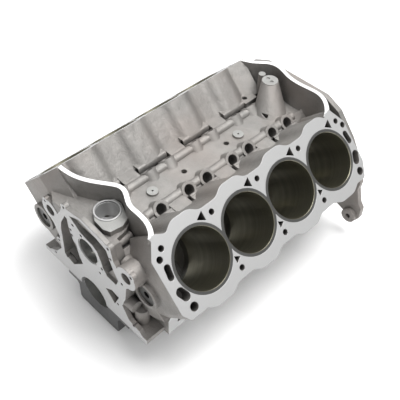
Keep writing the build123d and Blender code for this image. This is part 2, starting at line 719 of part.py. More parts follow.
os.makedirs("parts", exist_ok=True)
for name, piece in pieces.items():
    piece.part.label = name
    export_step(piece.part, f"parts/{name}.step")
    print(name, piece.part.is_valid, len(piece.part.solids()), round(piece.part.volume / 1e3, 1))
print(block.part.bounding_box())
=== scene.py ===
"""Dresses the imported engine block: cast and milled aluminium, honed liners, steel pieces."""

import json
import math

import bpy
from mathutils import Matrix, Vector


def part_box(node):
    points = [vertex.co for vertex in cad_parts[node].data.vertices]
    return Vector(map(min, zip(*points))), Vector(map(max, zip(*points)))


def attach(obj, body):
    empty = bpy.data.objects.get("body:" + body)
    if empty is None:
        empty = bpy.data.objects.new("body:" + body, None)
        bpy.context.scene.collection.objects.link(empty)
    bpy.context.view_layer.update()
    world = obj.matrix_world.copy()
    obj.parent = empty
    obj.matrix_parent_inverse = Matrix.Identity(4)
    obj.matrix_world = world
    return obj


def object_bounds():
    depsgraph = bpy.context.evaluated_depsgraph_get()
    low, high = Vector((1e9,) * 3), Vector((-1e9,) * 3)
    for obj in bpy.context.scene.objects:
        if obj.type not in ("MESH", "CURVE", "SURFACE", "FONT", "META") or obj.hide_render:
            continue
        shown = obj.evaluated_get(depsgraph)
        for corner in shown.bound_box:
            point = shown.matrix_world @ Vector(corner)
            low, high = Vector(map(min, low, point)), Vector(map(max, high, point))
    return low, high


bl_info = {
    "name": "Engine Block Finisher",
    "version": (1, 0, 0),
    "blender": (4, 5, 0),
    "location": "View3D > Sidebar > Engine Block",
    "description": "Gives a bare engine block its castings, machined faces, liners, caps and studio",
    "category": "Object",
}

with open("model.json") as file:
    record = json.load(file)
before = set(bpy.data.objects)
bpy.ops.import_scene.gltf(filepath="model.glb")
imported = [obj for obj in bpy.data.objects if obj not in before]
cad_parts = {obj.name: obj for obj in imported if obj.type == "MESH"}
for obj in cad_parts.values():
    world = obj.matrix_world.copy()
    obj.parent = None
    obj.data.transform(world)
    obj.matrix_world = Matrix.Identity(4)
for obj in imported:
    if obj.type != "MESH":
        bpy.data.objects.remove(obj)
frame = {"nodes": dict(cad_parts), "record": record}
cad_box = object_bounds()

MM = 0.001
SLANT = math.sqrt(0.5)
BANKS = ((1, "right"), (-1, "left"))
CARRIER = "block_casting"

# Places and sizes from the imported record, in metres
mounts = {mount["name"]: mount for mount in frame["record"]["mounts"]}
casting_low, casting_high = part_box("block_casting")
DECK_HEIGHT = Vector(mounts["right_deck"]["pos_m"]).dot(Vector(mounts["right_deck"]["axis"]))
RAIL_TOP = mounts["front_rail"]["pos_m"][2]
MOUNT_FACE = mounts["right_mount_pad"]["pos_m"][0]
FRONT_FACE = -casting_low.y
REAR_FACE = casting_high.y
CRANK_RADIUS = mounts["main_bore"]["dims"]["r_mm"] * MM
CAM_HEIGHT = mounts["cam_bore"]["pos_m"][2]
CYLINDER_RADIUS = mounts["right_cylinder_1"]["dims"]["r_mm"] * MM
CYLINDERS = {bank: [mounts["%s_cylinder_%d" % (bank, number)] for number in range(1, 5)]
             for _, bank in BANKS}
CYLINDER_SPACING = CYLINDERS["right"][1]["pos_m"][1] - CYLINDERS["right"][0]["pos_m"][1]

# Sizes that the record doesn't hold, as the part's source has them
PAD_HEIGHT = 0.213
VALLEY_PAD_HEIGHT = 0.186
CAM_SEAT_RADIUS = 0.0296
DISTRIBUTOR_WALL_RADIUS = 0.0270
LINER_WALL = 0.0032

# Room in the crankcase, whose walls get a painted shade, and the round top of the column at the back
# of the valley with its holes
BAY_LOW = Vector((-0.118, 0.012, 0.003))
BAY_HIGH = Vector((0.118, 0.520, 0.125))
COLUMN_TOP = Vector((-0.036, 0.504, 0.236))
COLUMN_RADIUS = 0.019
TOP_THICKNESS = 0.0022
TOP_MARGIN = 0.0004
SCREW_SHIFTS = (-0.007, 0.006)
SCREW_ROW_SLOPE = -0.25
SCREW_RADIUS = 0.0038
PAD_HEIGHTS = (PAD_HEIGHT, VALLEY_PAD_HEIGHT, COLUMN_TOP.z, COLUMN_TOP.z + TOP_THICKNESS)

# The ledges of the inner head bolts, as the part's source has them, and their fillets
BANK_MIDDLE = {1: mounts["right_deck"]["pos_m"][1], -1: mounts["left_deck"]["pos_m"][1]}
LEDGE_INNER = 0.054
LEDGE_TOP = 0.185
LEDGE_HALF_LENGTH = 0.020
BENCH_SUM = 0.2285
LEDGE_BITE = 0.0005
FILLET_DROP = 0.0001
FILLET_DIP = 0.0006

# The beads along the feet of the bulges, clear of the lifter bores
FOOT_HALF_LENGTH = 0.038
BEAD_INNER = 0.0572
BEAD_OUTER = 0.0658
BEAD_BOTTOM = 0.170
BEAD_TOP = 0.1906
BEAD_SHARE = 0.58
BEAD_STEPS = 7

# The lip round the distributor bore
LIP_WIDTH = 0.0034
LIP_THICKNESS = 0.0012
LIP_CLEARANCE = 0.0003

# How close a surface lies to a milled plane or a bored wall, and how squarely it faces along it
PLANE_TOLERANCE = 0.0003
DECK_TOLERANCE = 0.0004
BORE_MARGIN = 0.0004
FACING = 0.95

# The cast skin: noise scales per metre, the ranges that spread them and what each adds
LUMP_SCALE = 70.0
STAIN_SCALE = 22.0
HEAT_SCALE = 6.0
STAIN_RANGE = (0.38, 0.62)
HEAT_RANGE = (0.45, 0.65)
GRAIN_SHARE = 0.35
SPECK_SHARE = 0.45
STAIN_SHADE = 0.66
WARMTH = 0.55
# Painted shade in corners and holes: its share of the cast colour, and the occlusion below which it
# sets in
CREVICE_SHADE_SHARE = 0.12
CREVICE_SHADE_REACH = 0.38
# How metallic and rough the skin is, how much smoother the milled faces are, and the skin's bumps
CAST_METALLIC = 0.6
CAST_ROUGHNESS = 0.52
MILLED_SMOOTHING = 0.05
CAST_BUMP = (0.0025, 0.9)

# The cutter's marks on the milled faces
MILL_RUN = (0.3, 1.0, 0.0)
MILL_PITCH = 0.0010
MILL_DULL = 0.94
MILL_BRIGHT = 1.05

# The liners' honed bores, with painted reflections in bands down them
HONE_SLOPE = 0.45
REFLECTION_LEVEL = 0.4
HONE_SHADE = 0.6
HONE_ROUGHNESS = 0.34
HONE_BUMP = (0.00015, 0.6)

# The steel pieces
METALLIC = 0.9
STEEL_GRAIN = 0.0008
STEEL_SHADE = 0.7
TURN_PITCH = 0.0012
WEAR = 0.15
WEAR_START = 0.07
STEEL_BUMP = (0.0001, 0.5)

# The studio: each softbox has a place, a size and a share of the key's power
LAMPS = {
    "key_softbox": ((0.55, 0.65, 2.4), 1.5, 1.0),
    "fill_softbox": ((1.5, -1.0, 1.9), 1.2, 0.12),
    "rear_softbox": ((-1.4, 1.4, 1.9), 1.6, 0.20),
}
LAMP_TARGET = Vector((0.0, 0.25, 0.1))
FLOOR_SIZE = 8.0
FLOOR_GRAIN = 3.0
FLOOR_SHADE = 0.985

# The photograph's viewpoint, found from the layout of the bores, in metres
VIEWPOINT = Vector((0.6615, -0.4519, 1.1066))
LOOKED_AT = Vector((0.0396, 0.2150, 0.1200))
CAMERA_ROLL = math.radians(2.89)
CAMERA_LENS = 58.29
SENSOR_WIDTH = 36.0


class CastingFinish(bpy.types.PropertyGroup):
    cast_colour: bpy.props.FloatVectorProperty(
        name="Cast Colour", description="Colour of the sand cast skin", subtype="COLOR",
        size=3, min=0, max=1, default=(0.285, 0.275, 0.262))
    machined_colour: bpy.props.FloatVectorProperty(
        name="Machined Colour", description="Colour of the decks and other milled faces",
        subtype="COLOR", size=3, min=0, max=1, default=(0.43, 0.43, 0.428))
    # Painted highlight: the rails face straight up, so they get a brighter copy of the milled colour
    rail_highlight_colour: bpy.props.FloatVectorProperty(
        name="Rail Colour", description="Colour of the valley rails, the brightest milled faces",
        subtype="COLOR", size=3, min=0, max=1, default=(0.74, 0.74, 0.735))
    pad_colour: bpy.props.FloatVectorProperty(
        name="Pad Colour", description="Colour of the spot faced pads", subtype="COLOR",
        size=3, min=0, max=1, default=(0.29, 0.29, 0.28))
    heat_colour: bpy.props.FloatVectorProperty(
        name="Heat Colour", description="Warm tint that the pour leaves in broad patches",
        subtype="COLOR", size=3, min=0, max=1, default=(0.255, 0.226, 0.208))
    # Painted shade on the walls inside the crankcase, where little light reaches
    crankcase_shade_colour: bpy.props.FloatVectorProperty(
        name="Inner Colour", description="Colour of the shadowed walls of the crankcase",
        subtype="COLOR", size=3, min=0, max=1, default=(0.10, 0.096, 0.085))
    # The reach of the painted shade in corners and holes
    crevice_depth: bpy.props.FloatProperty(
        name="Crevice Depth", description="Reach of the dirt and shade in corners and holes",
        unit="LENGTH", min=0.001, max=0.1, default=0.03)
    edge_radius: bpy.props.FloatProperty(
        name="Edge Radius", description="Radius of the soft edges that a sand mould leaves",
        unit="LENGTH", min=0.0001, max=0.01, default=0.0018)
    grain_size: bpy.props.FloatProperty(
        name="Grain Size", description="Size of the grains that the sand mould leaves",
        unit="LENGTH", min=0.0002, max=0.01, default=0.0016)


class IronFinish(bpy.types.PropertyGroup):
    flange_colour: bpy.props.FloatVectorProperty(
        name="Flange Colour", description="Colour of the liner's milled top", subtype="COLOR",
        size=3, min=0, max=1, default=(0.135, 0.135, 0.13))
    bore_colour: bpy.props.FloatVectorProperty(
        name="Bore Colour", description="Colour of the honed bore", subtype="COLOR",
        size=3, min=0, max=1, default=(0.30, 0.285, 0.215))
    # Painted reflection: bright and dark bands down the bore
    reflection_pitch: bpy.props.FloatProperty(
        name="Ring Pitch", description="Spacing of the faint rings down the bore", unit="LENGTH",
        min=0.001, max=0.05, default=0.012)
    hone_pitch: bpy.props.FloatProperty(
        name="Hone Pitch", description="Distance between the marks of the hone", unit="LENGTH",
        min=0.0002, max=0.01, default=0.0015)


class SteelFinish(bpy.types.PropertyGroup):
    cap_colour: bpy.props.FloatVectorProperty(
        name="Cap Colour", description="Colour of the main bearing caps", subtype="COLOR",
        size=3, min=0, max=1, default=(0.13, 0.13, 0.13))
    bored_colour: bpy.props.FloatVectorProperty(
        name="Bored Colour", description="Colour of the bearing seats bored through the caps",
        subtype="COLOR", size=3, min=0, max=1, default=(0.3, 0.3, 0.29))
    bolt_colour: bpy.props.FloatVectorProperty(
        name="Bolt Colour", description="Colour of the blackened bolts", subtype="COLOR",
        size=3, min=0, max=1, default=(0.05, 0.05, 0.052))
    plug_colour: bpy.props.FloatVectorProperty(
        name="Plug Colour", description="Colour of the core and gallery plugs", subtype="COLOR",
        size=3, min=0, max=1, default=(0.085, 0.085, 0.082))
    bearing_colour: bpy.props.FloatVectorProperty(
        name="Bearing Colour", description="Colour of the cam bearings", subtype="COLOR",
        size=3, min=0, max=1, default=(0.55, 0.55, 0.53))


class StudioLight(bpy.types.PropertyGroup):
    floor_colour: bpy.props.FloatVectorProperty(
        name="Floor Colour", description="Colour of the studio floor", subtype="COLOR",
        size=3, min=0, max=1, default=(0.92, 0.92, 0.92))
    sky_strength: bpy.props.FloatProperty(
        name="Room Light", description="Brightness of the white room", min=0, max=5, default=0.54)
    key_power: bpy.props.FloatProperty(
        name="Key Power", description="Power of the softbox overhead", unit="POWER",
        min=0, max=2000, default=88.0)


def add_node(tree, kind, **values):
    """A node of the kind, with its settings and the numbers of its sockets set by name."""
    node = tree.nodes.new(kind)
    for name, value in values.items():
        if hasattr(node, name):
            setattr(node, name, value)
        else:
            node.inputs[name.replace("_", " ")].default_value = value
    return node


def math_node(tree, operation, first, second=None):
    node = tree.nodes.new("ShaderNodeMath")
    node.operation = operation
    for socket, value in zip(node.inputs, (first, second)):
        if value is None:
            continue
        if isinstance(value, bpy.types.NodeSocket):
            tree.links.new(value, socket)
        else:
            socket.default_value = value
    return node.outputs[0]


def scaled(colour, share):
    return tuple(min(1.0, channel * share) for channel in colour)


def mix_colours(tree, mask, under, over):
    """The colour over where the mask is 1 and under where it is 0; in a colour mix the two are
    sockets 6 and 7."""
    node = tree.nodes.new("ShaderNodeMix")
    node.data_type = "RGBA"
    for socket, value in zip((node.inputs[0], node.inputs[6], node.inputs[7]), (mask, under, over)):
        if isinstance(value, bpy.types.NodeSocket):
            tree.links.new(value, socket)
        elif isinstance(value, float):
            socket.default_value = value
        else:
            socket.default_value = (*value, 1.0)
    return node.outputs[2]


def new_group(name, inputs, outputs):
    """A shader group: inputs as (name, kind, default), outputs as (name, kind)."""
    group = bpy.data.node_groups.new(name, "ShaderNodeTree")
    for label, kind, default in inputs:
        socket = group.interface.new_socket(label, in_out="INPUT", socket_type=kind)
        socket.default_value = default
    for label, kind in outputs:
        group.interface.new_socket(label, in_out="OUTPUT", socket_type=kind)
    entry = group.nodes.new("NodeGroupInput")
    leave = group.nodes.new("NodeGroupOutput")
    return group, entry, leave


def get_plane_mask():
    """Group: 1 where the surface lies in a plane and faces along its normal, else 0."""
    if "Milled Plane" in bpy.data.node_groups:
        return bpy.data.node_groups["Milled Plane"]
    group, entry, leave = new_group(
        "Milled Plane",
        [("Normal", "NodeSocketVector", (0.0, 0.0, 1.0)), ("Distance", "NodeSocketFloat", 0.0),
         ("Tolerance", "NodeSocketFloat", PLANE_TOLERANCE)],
        [("Mask", "NodeSocketFloat")])
    place = group.nodes.new("ShaderNodeTexCoord")
    height = add_node(group, "ShaderNodeVectorMath", operation="DOT_PRODUCT")
    group.links.new(place.outputs["Object"], height.inputs[0])
    group.links.new(entry.outputs["Normal"], height.inputs[1])
    gap = math_node(group, "SUBTRACT", height.outputs["Value"], entry.outputs["Distance"])
    gap = math_node(group, "ABSOLUTE", gap)
    near = math_node(group, "LESS_THAN", gap, entry.outputs["Tolerance"])
    facing = add_node(group, "ShaderNodeVectorMath", operation="DOT_PRODUCT")
    group.links.new(place.outputs["Normal"], facing.inputs[0])
    group.links.new(entry.outputs["Normal"], facing.inputs[1])
    flat = math_node(group, "GREATER_THAN", facing.outputs["Value"], FACING)
    group.links.new(math_node(group, "MULTIPLY", near, flat), leave.inputs["Mask"])
    return group


def get_bore_mask():
    """Group: 1 inside a bore round an axis through a point, else 0."""
    if "Bored Hole" in bpy.data.node_groups:
        return bpy.data.node_groups["Bored Hole"]
    group, entry, leave = new_group(
        "Bored Hole",
        [("Centre", "NodeSocketVector", (0.0, 0.0, 0.0)),
         ("Axis", "NodeSocketVector", (0.0, 1.0, 0.0)), ("Radius", "NodeSocketFloat", 0.01)],
        [("Mask", "NodeSocketFloat")])
    place = group.nodes.new("ShaderNodeTexCoord")
    offset = add_node(group, "ShaderNodeVectorMath", operation="SUBTRACT")
    group.links.new(place.outputs["Object"], offset.inputs[0])
    group.links.new(entry.outputs["Centre"], offset.inputs[1])
    arm = add_node(group, "ShaderNodeVectorMath", operation="CROSS_PRODUCT")
    group.links.new(offset.outputs[0], arm.inputs[0])
    group.links.new(entry.outputs["Axis"], arm.inputs[1])
    size = add_node(group, "ShaderNodeVectorMath", operation="LENGTH")
    group.links.new(arm.outputs[0], size.inputs[0])
    inside = math_node(group, "LESS_THAN", size.outputs["Value"], entry.outputs["Radius"])
    group.links.new(inside, leave.inputs["Mask"])
    return group


def get_room_mask():
    """Group: 1 inside an upright box given by its middle and half its size, else 0."""
    if "Room Box" in bpy.data.node_groups:
        return bpy.data.node_groups["Room Box"]
    group, entry, leave = new_group(
        "Room Box",
        [("Middle", "NodeSocketVector", (0.0, 0.0, 0.0)),
         ("Half Size", "NodeSocketVector", (1.0, 1.0, 1.0))],
        [("Mask", "NodeSocketFloat")])
    place = group.nodes.new("ShaderNodeTexCoord")
    offset = add_node(group, "ShaderNodeVectorMath", operation="SUBTRACT")
    group.links.new(place.outputs["Object"], offset.inputs[0])
    group.links.new(entry.outputs["Middle"], offset.inputs[1])
    size = add_node(group, "ShaderNodeVectorMath", operation="ABSOLUTE")
    group.links.new(offset.outputs[0], size.inputs[0])
    room = add_node(group, "ShaderNodeVectorMath", operation="SUBTRACT")
    group.links.new(entry.outputs["Half Size"], room.inputs[0])
    group.links.new(size.outputs[0], room.inputs[1])
    parts = group.nodes.new("ShaderNodeSeparateXYZ")
    group.links.new(room.outputs[0], parts.inputs[0])
    least = math_node(group, "MINIMUM", parts.outputs["X"], parts.outputs["Y"])
    least = math_node(group, "MINIMUM", least, parts.outputs["Z"])
    group.links.new(math_node(group, "GREATER_THAN", least, 0.0), leave.inputs["Mask"])
    return group


def get_cast_skin():
    """Group: the grain, stains and warm patches of a sand cast skin."""
    if "Cast Skin" in bpy.data.node_groups:
        return bpy.data.node_groups["Cast Skin"]
    group, entry, leave = new_group(
        "Cast Skin",
        [("Grain Size", "NodeSocketFloat", 0.0016)],
        [("Stain", "NodeSocketFloat"), ("Tint", "NodeSocketFloat"), ("Height", "NodeSocketFloat")])
    place = group.nodes.new("ShaderNodeTexCoord")
    scale = math_node(group, "DIVIDE", 1.0, entry.outputs["Grain Size"])
    grain = add_node(group, "ShaderNodeTexNoise", Detail=3.0, Roughness=0.6)
    group.links.new(place.outputs["Object"], grain.inputs["Vector"])
    group.links.new(scale, grain.inputs["Scale"])
    lumps = add_node(group, "ShaderNodeTexNoise", Scale=LUMP_SCALE, Detail=5.0, Roughness=0.6)
    group.links.new(place.outputs["Object"], lumps.inputs["Vector"])
    stain = add_node(group, "ShaderNodeTexNoise", Scale=STAIN_SCALE, Detail=8.0, Roughness=0.7)
    group.links.new(place.outputs["Object"], stain.inputs["Vector"])
    fine = math_node(group, "MULTIPLY", grain.outputs["Fac"], GRAIN_SHARE)
    coarse = math_node(group, "MULTIPLY", lumps.outputs["Fac"], 1.0 - GRAIN_SHARE)
    group.links.new(math_node(group, "ADD", fine, coarse), leave.inputs["Height"])
    spread = add_node(group, "ShaderNodeMapRange", From_Min=STAIN_RANGE[0],
                      From_Max=STAIN_RANGE[1])
    group.links.new(stain.outputs["Fac"], spread.inputs["Value"])
    heat = add_node(group, "ShaderNodeTexNoise", Scale=HEAT_SCALE, Detail=3.0, Roughness=0.5)
    group.links.new(place.outputs["Object"], heat.inputs["Vector"])
    warm = add_node(group, "ShaderNodeMapRange", From_Min=HEAT_RANGE[0], From_Max=HEAT_RANGE[1])
    group.links.new(heat.outputs["Fac"], warm.inputs["Value"])
    group.links.new(warm.outputs["Result"], leave.inputs["Tint"])
    speck = math_node(group, "MULTIPLY", grain.outputs["Fac"], SPECK_SHARE)
    cloud = math_node(group, "MULTIPLY", spread.outputs["Result"], 1.0 - SPECK_SHARE)
    group.links.new(math_node(group, "ADD", speck, cloud), leave.inputs["Stain"])
    return group


def get_tool_marks():
    """Group: fine straight marks of a milling cutter or hone."""
    if "Tool Marks" in bpy.data.node_groups:
        return bpy.data.node_groups["Tool Marks"]
    group, entry, leave = new_group(
        "Tool Marks",
        [("Along", "NodeSocketVector", (0.0, 1.0, 0.0)), ("Pitch", "NodeSocketFloat", 0.0012)],
        [("Mark", "NodeSocketFloat")])
    place = group.nodes.new("ShaderNodeTexCoord")
    run = add_node(group, "ShaderNodeVectorMath", operation="DOT_PRODUCT")
    group.links.new(place.outputs["Object"], run.inputs[0])
    group.links.new(entry.outputs["Along"], run.inputs[1])
    steps = math_node(group, "DIVIDE", run.outputs["Value"], entry.outputs["Pitch"])
    noise = add_node(group, "ShaderNodeTexNoise", noise_dimensions="1D", Scale=1.0, Detail=4.0,
                     Roughness=0.7)
    group.links.new(steps, noise.inputs["W"])
    group.links.new(noise.outputs["Fac"], leave.inputs["Mark"])
    return group


def place_group(tree, group, **values):
    node = tree.nodes.new("ShaderNodeGroup")
    node.node_tree = group
    for name, value in values.items():
        node.inputs[name.replace("_", " ")].default_value = value
    return node


def union(tree, masks):
    total = masks[0]
    for mask in masks[1:]:
        total = math_node(tree, "MAXIMUM", total, mask)
    return total


def new_material(name):
    material = bpy.data.materials.new(name)
    material.use_nodes = True
    tree = material.node_tree
    shader = tree.nodes["Principled BSDF"]
    return material, tree, shader


def dress(node_names, material):
    for name in node_names:
        mesh = frame["nodes"][name].data
        mesh.materials.clear()
        mesh.materials.append(material)


def nodes_named(part):
    return [name for name in sorted(frame["nodes"]) if part in name]


def bump(tree, shader, height, relief, normal=None):
    """Bumps from a height; the relief is its distance and its strength."""
    node = add_node(tree, "ShaderNodeBump", Distance=relief[0], Strength=relief[1])
    if normal:
        tree.links.new(normal, node.inputs["Normal"])
    tree.links.new(height, node.inputs["Height"])
    tree.links.new(node.outputs["Normal"], shader.inputs["Normal"])


class BLOCK_OT_dress_casting(bpy.types.Operator):
    """Give the casting its sand cast skin and its milled faces"""
    bl_idname = "block.dress_casting"
    bl_label = "Dress Casting"

    def execute(self, context):
        look = context.scene.casting_finish
        material, tree, shader = new_material("cast_aluminium")
        planes = []
        for side in (1, -1):
            planes.append(((side * SLANT, 0.0, SLANT), DECK_HEIGHT))
            planes.append(((float(side), 0.0, 0.0), MOUNT_FACE))
        planes.append(((0.0, 0.0, -1.0), 0.0))
        planes.append(((0.0, -1.0, 0.0), FRONT_FACE))
        planes.append(((0.0, 1.0, 0.0), REAR_FACE))
        masks = []
        for normal, distance in planes:
            mask = place_group(tree, get_plane_mask(), Normal=normal, Distance=distance)
            masks.append(mask.outputs["Mask"])
        distributor = mounts["distributor_bore"]
        bores = [((0.0, 0.0, 0.0), (0.0, 1.0, 0.0), CRANK_RADIUS + BORE_MARGIN),
                 ((0.0, 0.0, CAM_HEIGHT), (0.0, 1.0, 0.0), CAM_SEAT_RADIUS),
                 (distributor["pos_m"], distributor["axis"], DISTRIBUTOR_WALL_RADIUS)]
        for bank in CYLINDERS.values():
            for mount in bank:
                bores.append((mount["pos_m"], mount["axis"], CYLINDER_RADIUS + LINER_WALL))
        for centre, axis, radius in bores:
            mask = place_group(tree, get_bore_mask(), Centre=centre, Axis=axis, Radius=radius)
            masks.append(mask.outputs["Mask"])
        top = place_group(tree, get_plane_mask(), Normal=(0.0, 0.0, 1.0), Distance=RAIL_TOP)
        rails = top.outputs["Mask"]
        milled = math_node(tree, "MAXIMUM", union(tree, masks), rails)
        skin = place_group(tree, get_cast_skin(), Grain_Size=look.grain_size)
        marks = place_group(tree, get_tool_marks(), Along=MILL_RUN, Pitch=MILL_PITCH)
        dark = scaled(look.cast_colour, STAIN_SHADE)
        cast = mix_colours(tree, skin.outputs["Stain"], dark, tuple(look.cast_colour))
        warmth = math_node(tree, "MULTIPLY", skin.outputs["Tint"], WARMTH)
        cast = mix_colours(tree, warmth, cast, tuple(look.heat_colour))
        metal = mix_colours(tree, marks.outputs["Mark"], scaled(look.machined_colour, MILL_DULL),
                            scaled(look.machined_colour, MILL_BRIGHT))
        # Painted highlight: the upward facing rails take a brighter milled colour
        metal = mix_colours(tree, rails, metal, tuple(look.rail_highlight_colour))
        face_colour = mix_colours(tree, milled, cast, metal)
        pads = []
        for level in PAD_HEIGHTS:
            pad = place_group(tree, get_plane_mask(), Normal=(0.0, 0.0, 1.0), Distance=level)
            pads.append(pad.outputs["Mask"])
        face_colour = mix_colours(tree, union(tree, pads), face_colour, tuple(look.pad_colour))
        # Painted shade: the room inside the crankcase takes a dark colour
        inside = place_group(tree, get_room_mask(), Middle=tuple((BAY_LOW + BAY_HIGH) / 2),
                             Half_Size=tuple((BAY_HIGH - BAY_LOW) / 2))
        face_colour = mix_colours(tree, inside.outputs["Mask"], face_colour, tuple(look.crankcase_shade_colour))
        # Painted shade: corners, creases and holes darken by their ambient occlusion
        shade = add_node(tree, "ShaderNodeAmbientOcclusion", samples=8,
                         Distance=look.crevice_depth)
        crevice_shade_mask = add_node(tree, "ShaderNodeMapRange", From_Min=0.0, From_Max=CREVICE_SHADE_REACH,
                        To_Min=1.0, To_Max=0.0)
        tree.links.new(shade.outputs["AO"], crevice_shade_mask.inputs["Value"])
        crevice_shade_colour = scaled(look.cast_colour, CREVICE_SHADE_SHARE)
        colour = mix_colours(tree, crevice_shade_mask.outputs["Result"], face_colour, crevice_shade_colour)
        tree.links.new(colour, shader.inputs["Base Color"])
        smoother = math_node(tree, "MULTIPLY", milled, MILLED_SMOOTHING)
        rough = math_node(tree, "SUBTRACT", CAST_ROUGHNESS, smoother)
        tree.links.new(rough, shader.inputs["Roughness"])
        shader.inputs["Metallic"].default_value = CAST_METALLIC
        unmilled = math_node(tree, "SUBTRACT", 1.0, milled)
        height = math_node(tree, "MULTIPLY", skin.outputs["Height"], unmilled)
        soft = add_node(tree, "ShaderNodeBevel", samples=4, Radius=look.edge_radius)
        bump(tree, shader, height, CAST_BUMP, soft.outputs["Normal"])
        dress([CARRIER], material)
        return {"FINISHED"}


class BLOCK_OT_dress_liners(bpy.types.Operator):
    """Give the liners milled tops and honed bores"""
    bl_idname = "block.dress_liners"
    bl_label = "Dress Liners"

    def execute(self, context):
        look = context.scene.iron_finish
        for side, bank in BANKS:
            material, tree, shader = new_material("liner_iron_" + bank)
            top = place_group(tree, get_plane_mask(), Normal=(side * SLANT, 0.0, SLANT),
                              Distance=DECK_HEIGHT, Tolerance=DECK_TOLERANCE)
            marks, crossed, reflections = [
                place_group(tree, get_tool_marks(), Along=(side * SLANT, slope, SLANT),
                            Pitch=pitch).outputs["Mark"]
                for slope, pitch in ((HONE_SLOPE, look.hone_pitch), (-HONE_SLOPE, look.hone_pitch),
                                     (0.0, look.reflection_pitch))]
            # Crossed hone marks, plus painted reflection bands down the bore; both also bump the
            # bore
            hone = math_node(tree, "MULTIPLY", marks, crossed)
            hone = math_node(tree, "ADD", hone, math_node(tree, "SUBTRACT", reflections, REFLECTION_LEVEL))
            dark = scaled(look.bore_colour, HONE_SHADE)
            bore = mix_colours(tree, hone, dark, tuple(look.bore_colour))
            colour = mix_colours(tree, top.outputs["Mask"], bore, tuple(look.flange_colour))
            tree.links.new(colour, shader.inputs["Base Color"])
            shader.inputs["Metallic"].default_value = METALLIC
            shader.inputs["Roughness"].default_value = HONE_ROUGHNESS
            bump(tree, shader, hone, HONE_BUMP)
            dress(nodes_named(bank + "_liner"), material)
        return {"FINISHED"}


class BLOCK_OT_dress_steel(bpy.types.Operator):
    """Give the main caps, bolts, plugs, dowels and cam bearings their steels"""
    bl_idname = "block.dress_steel"
    bl_label = "Dress Steel Parts"

    def execute(self, context):
        look = context.scene.steel_finish
        finishes = [
            ("cap_steel", look.cap_colour, 0.45, nodes_named("main_cap")),
            ("bolt_steel", look.bolt_colour, 0.40, nodes_named("cap_bolts")),
            ("plug_steel", look.plug_colour, 0.38, nodes_named("plug") + ["bell_dowels"]),
            ("bearing_metal", look.bearing_colour, 0.30, nodes_named("cam_bearing")),
        ]
        for name, colour, roughness, node_names in finishes:
            material, tree, shader = new_material(name)
            skin = place_group(tree, get_cast_skin(), Grain_Size=STEEL_GRAIN)
            dark = scaled(colour, STEEL_SHADE)
            tint = mix_colours(tree, skin.outputs["Stain"], dark, tuple(colour))
            if name == "cap_steel":
                bored = place_group(tree, get_bore_mask(), Radius=CRANK_RADIUS + BORE_MARGIN)
                tint = mix_colours(tree, bored.outputs["Mask"], tint, tuple(look.bored_colour))
            tree.links.new(tint, shader.inputs["Base Color"])
            marks = place_group(tree, get_tool_marks(), Along=(0.0, 0.0, 1.0), Pitch=TURN_PITCH)
            wear = math_node(tree, "MULTIPLY", marks.outputs["Mark"], WEAR)
            rough = math_node(tree, "ADD", wear, roughness - WEAR_START)
            tree.links.new(rough, shader.inputs["Roughness"])
            shader.inputs["Metallic"].default_value = METALLIC
            bump(tree, shader, marks.outputs["Mark"], STEEL_BUMP)
            dress(node_names, material)
        return {"FINISHED"}


def select_vertices(piece, wanted):
    """In edit mode, select the vertices for which wanted(place) holds, and what they span."""
    bpy.ops.mesh.select_mode(type="VERT")
    bpy.ops.mesh.select_all(action="DESELECT")
    bpy.ops.object.mode_set(mode="OBJECT")
    for vertex in piece.data.vertices:
        vertex.select = wanted(vertex.co)
    bpy.ops.object.mode_set(mode="EDIT")


def activate(pieces):
    """Select these pieces alone and make the first one active."""
    bpy.ops.object.select_all(action="DESELECT")
    for piece in pieces:
        piece.select_set(True)
    bpy.context.view_layer.objects.active = pieces[0]


def join(pieces):
    activate(pieces)
    bpy.ops.object.join()
    return pieces[0]


def settle(piece, name):
    """Put a finished piece's place into its mesh, dress it as the casting and seat it there."""
    activate([piece])
    bpy.ops.object.transform_apply(location=True, rotation=True, scale=True)
    piece.name = name
    piece.data.name = name
    piece.data.materials.clear()
    piece.data.materials.append(frame["nodes"][CARRIER].data.materials[0])
    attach(piece, "root")


def add_disc(radius, thickness, seat):
    """A round plate that stands on the seat, its upper edge broken."""
    bpy.ops.object.select_all(action="DESELECT")
    bpy.ops.mesh.primitive_cylinder_add(vertices=64, radius=radius, depth=thickness,
                                        location=seat + Vector((0.0, 0.0, thickness / 2)))
    disc = bpy.context.object
    bpy.ops.object.transform_apply(location=True, rotation=True, scale=True)
    bpy.ops.object.mode_set(mode="EDIT")
    select_vertices(disc, lambda place: place.z > seat.z + thickness / 2)
    bpy.ops.mesh.bevel(offset=thickness / 3, segments=2)
    bpy.ops.object.mode_set(mode="OBJECT")
    return disc


def drill(piece, centre, radius):
    """Cut a round upright hole through a piece."""
    bpy.ops.object.select_all(action="DESELECT")
    bpy.ops.mesh.primitive_cylinder_add(vertices=48, radius=radius, depth=0.02, location=centre)
    bit = bpy.context.object
    activate([piece])
    cut = piece.modifiers.new("hole", "BOOLEAN")
    cut.object = bit
    cut.operation = "DIFFERENCE"
    bpy.ops.object.modifier_apply(modifier=cut.name)
    bpy.data.objects.remove(bit)


